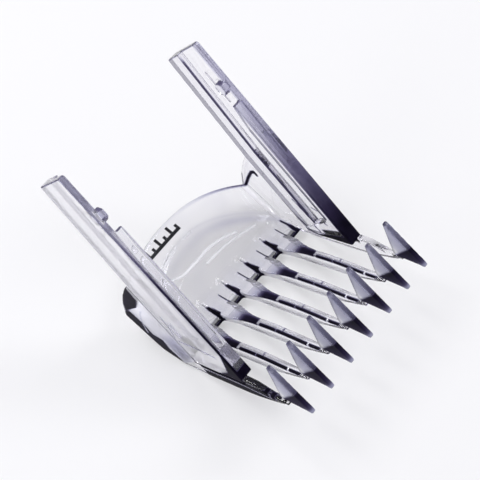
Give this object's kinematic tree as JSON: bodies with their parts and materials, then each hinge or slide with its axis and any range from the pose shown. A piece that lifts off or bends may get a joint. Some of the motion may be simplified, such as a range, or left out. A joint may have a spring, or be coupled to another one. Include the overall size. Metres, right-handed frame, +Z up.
{
  "type": "clipper guard comb",
  "caption": "Clear plastic slide-on guard comb for a hair clipper, with hooked comb teeth, a curved hood and springy side arms with guide rails and click bumps.",
  "frame": {"origin": "centre of the bounding box, at its bottom: the table the comb lies on, under the middle of the hood", "axes": "+Z up; +Y towards the free ends of the two arms, which rise as they go; +X towards the comb's right-hand arm, seen from the teeth side with the arms pointing away"},
  "size_m": [0.0434, 0.0656, 0.0432],
  "materials": {
    "clear_plastic": "polished clear, violet tint",
    "black_ink": "printed"
  },
  "bodies": {
    "root": {"finger_1": "clear_plastic", "finger_2": "clear_plastic", "finger_3": "clear_plastic", "finger_4": "clear_plastic", "finger_5": "clear_plastic", "finger_6": "clear_plastic", "finger_7": "clear_plastic", "tooth_blade_1": "clear_plastic", "tooth_blade_2": "clear_plastic", "tooth_blade_3": "clear_plastic", "tooth_blade_4": "clear_plastic", "tooth_blade_5": "clear_plastic", "tooth_blade_6": "clear_plastic", "tooth_blade_7": "clear_plastic", "hood_bowl": "clear_plastic", "hood_rim_band": "clear_plastic", "left_arm_root": "clear_plastic", "left_cheek": "clear_plastic", "left_lower_rail_root": "clear_plastic", "left_upper_rail_root": "clear_plastic", "left_channel_stop": "clear_plastic", "right_arm_root": "clear_plastic", "right_cheek": "clear_plastic", "right_lower_rail_root": "clear_plastic", "right_upper_rail_root": "clear_plastic", "right_channel_stop": "clear_plastic", "printed_scale": "black_ink"},
    "left_arm": {"left_arm_spring": "clear_plastic", "left_lower_rail": "clear_plastic", "left_upper_rail": "clear_plastic", "left_click_bump": "clear_plastic"},
    "right_arm": {"right_arm_spring": "clear_plastic", "right_lower_rail": "clear_plastic", "right_upper_rail": "clear_plastic", "right_click_bump": "clear_plastic"}
  },
  "joints": [
    {"name": "left_arm_flex", "type": "hinge", "parent": "root", "child": "left_arm", "pos_m": [-0.02095, 0.00932, 0.02269], "axis": [0, -0.6142, 0.7891], "range_deg": [-5, 5], "stiffness_Nm_per_rad": 0.02},
    {"name": "right_arm_flex", "type": "hinge", "parent": "root", "child": "right_arm", "pos_m": [0.02095, 0.00932, 0.02269], "axis": [0, -0.6142, 0.7891], "range_deg": [-5, 5], "stiffness_Nm_per_rad": 0.02}
  ]
}
